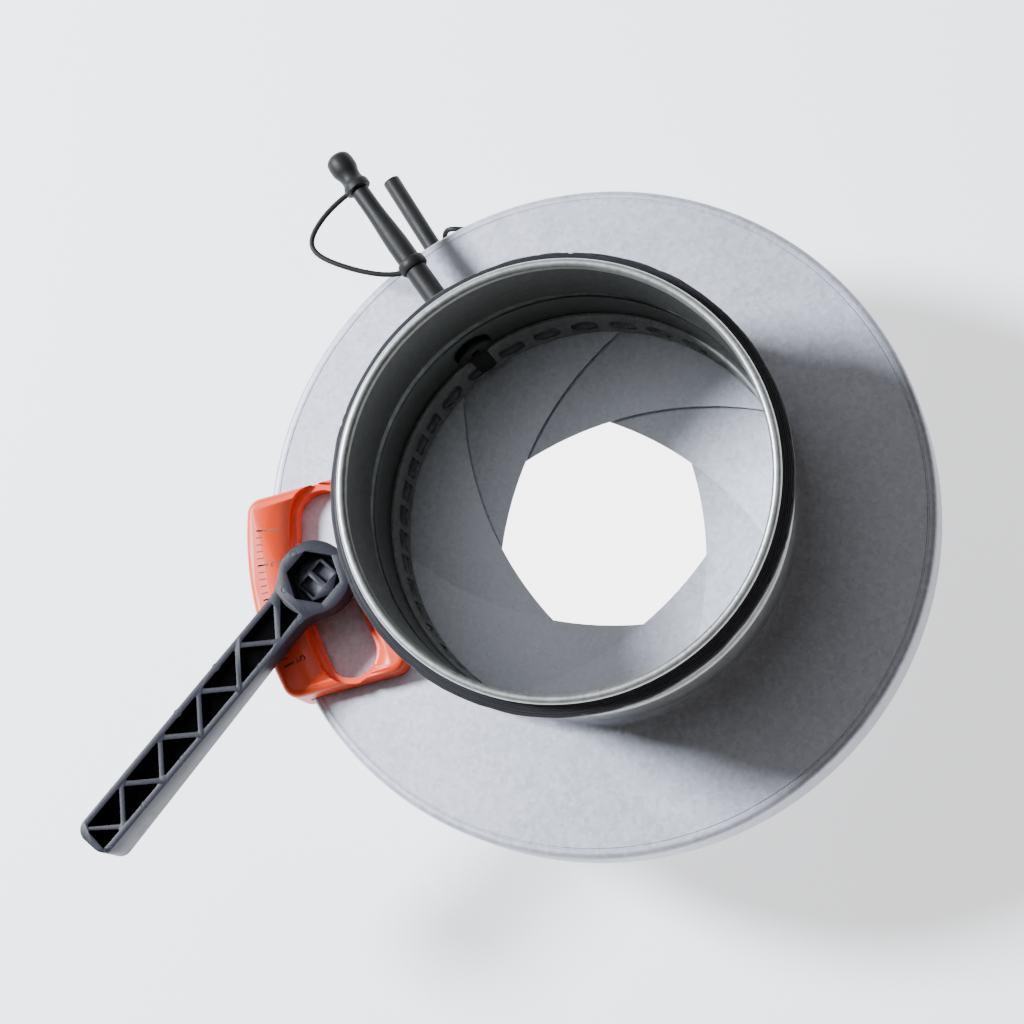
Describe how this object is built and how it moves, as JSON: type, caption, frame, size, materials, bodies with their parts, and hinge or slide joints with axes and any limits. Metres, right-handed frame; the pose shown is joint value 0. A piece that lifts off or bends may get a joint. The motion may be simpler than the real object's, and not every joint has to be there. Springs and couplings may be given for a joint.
{
  "type": "iris volume control damper",
  "caption": "Round duct damper with an iris of overlapping blades, slotted measuring band, pressure nipples, turning handle and clamp lever.",
  "frame": {"origin": "on the duct axis in the plane of the rear spigot's rim", "axes": "+Z along the duct from the rear rim to the front rim; -X towards the middle of the adjusting handle at rest"},
  "size_m": [0.2178, 0.1905, 0.11],
  "materials": {
    "galvanised_sheet": "galvanised steel sheet, fine spangle, slightly dull",
    "blade_steel": "galvanised steel blades, satin",
    "plated_steel": "zinc plated steel",
    "black_rubber": "black EPDM rubber, matte",
    "black_nylon": "black moulded glass-filled nylon",
    "orange_plastic": "orange-red moulded plastic, satin",
    "bearing_plastic": "natural acetal bearing plastic"
  },
  "bodies": {
    "casing": {"front_casing": "galvanised_sheet", "rear_casing": "galvanised_sheet", "front_spigot": "galvanised_sheet", "rear_spigot": "galvanised_sheet", "front_seal": "black_rubber", "rear_seal": "black_rubber", "measuring_band": "galvanised_sheet", "pivot_pins": "plated_steel", "pivot_ring": "plated_steel", "ring_guide": "bearing_plastic", "ring_retainer": "bearing_plastic", "clamp_stud": "plated_steel", "clamp_washer": "plated_steel", "front_grommet": "black_rubber", "front_tap_tube": "black_rubber", "rear_grommet": "black_rubber", "rear_tap_tube": "black_rubber", "front_cap_strap": "black_rubber"},
    "drive": {"drive_ring": "plated_steel", "drive_arm": "plated_steel", "arm_rivets": "plated_steel", "adjusting_handle": "orange_plastic"},
    "blade_1": {"blade_1": "blade_steel", "drive_pin_1": "plated_steel"},
    "blade_2": {"blade_2": "blade_steel", "drive_pin_2": "plated_steel"},
    "blade_3": {"blade_3": "blade_steel", "drive_pin_3": "plated_steel"},
    "blade_4": {"blade_4": "blade_steel", "drive_pin_4": "plated_steel"},
    "blade_5": {"blade_5": "blade_steel", "drive_pin_5": "plated_steel"},
    "blade_6": {"blade_6": "blade_steel", "drive_pin_6": "plated_steel"},
    "blade_7": {"blade_7": "blade_steel", "drive_pin_7": "plated_steel"},
    "clamp": {"clamp_lever": "black_nylon", "clamp_nut": "black_nylon"},
    "front_cap": {"front_tap_cap": "black_rubber"},
    "rear_cap": {"rear_tap_cap": "black_rubber", "rear_cap_strap": "black_rubber"}
  },
  "joints": [
    {"name": "iris_turn", "type": "hinge", "parent": "casing", "child": "drive", "pos_m": [0, 0, 0.0535], "axis": [0, 0, 1], "range_deg": [-8, 13]},
    {"name": "blade_1_turn", "type": "hinge", "parent": "casing", "child": "blade_1", "pos_m": [0.07482, 0.0026, 0.05241], "axis": [-0.0592, -0.0094, 0.9982], "range_deg": [-18.9, 11.65]},
    {"name": "blade_2_turn", "type": "hinge", "parent": "casing", "child": "blade_2", "pos_m": [0.04462, 0.06012, 0.05241], "axis": [-0.0296, -0.0521, 0.9982], "range_deg": [-18.9, 11.65]},
    {"name": "blade_3_turn", "type": "hinge", "parent": "casing", "child": "blade_3", "pos_m": [-0.01918, 0.07237, 0.05241], "axis": [0.0223, -0.0556, 0.9982], "range_deg": [-18.9, 11.65]},
    {"name": "blade_4_turn", "type": "hinge", "parent": "casing", "child": "blade_4", "pos_m": [-0.06854, 0.03012, 0.05241], "axis": [0.0574, -0.0172, 0.9982], "range_deg": [-18.9, 11.65]},
    {"name": "blade_5_turn", "type": "hinge", "parent": "casing", "child": "blade_5", "pos_m": [-0.06629, -0.0348, 0.05241], "axis": [0.0492, 0.0341, 0.9982], "range_deg": [-18.9, 11.65]},
    {"name": "blade_6_turn", "type": "hinge", "parent": "casing", "child": "blade_6", "pos_m": [-0.01412, -0.07352, 0.05241], "axis": [0.004, 0.0598, 0.9982], "range_deg": [-18.9, 11.65]},
    {"name": "blade_7_turn", "type": "hinge", "parent": "casing", "child": "blade_7", "pos_m": [0.04868, -0.05688, 0.05241], "axis": [-0.0442, 0.0404, 0.9982], "range_deg": [-18.9, 11.65]},
    {"name": "clamp_turn", "type": "hinge", "parent": "casing", "child": "clamp", "pos_m": [-0.067, 0, 0.07], "axis": [0, 0, 1], "range_deg": [-60, 70]},
    {"name": "front_cap_pull", "type": "slide", "parent": "casing", "child": "front_cap", "axis": [-0.3681, 0.9298, 0], "range_m": [0, 0.012]},
    {"name": "rear_cap_swing", "type": "hinge", "parent": "casing", "child": "rear_cap", "pos_m": [-0.02872, 0.08582, 0.0292], "axis": [-0.3173, 0.9483, 0], "range_deg": [-35, 35]}
  ],
  "couplings": [
    {"joint": "blade_1_turn", "follows": "iris_turn", "ratio": -1.45},
    {"joint": "blade_2_turn", "follows": "iris_turn", "ratio": -1.45},
    {"joint": "blade_3_turn", "follows": "iris_turn", "ratio": -1.45},
    {"joint": "blade_4_turn", "follows": "iris_turn", "ratio": -1.45},
    {"joint": "blade_5_turn", "follows": "iris_turn", "ratio": -1.45},
    {"joint": "blade_6_turn", "follows": "iris_turn", "ratio": -1.45},
    {"joint": "blade_7_turn", "follows": "iris_turn", "ratio": -1.45}
  ]
}
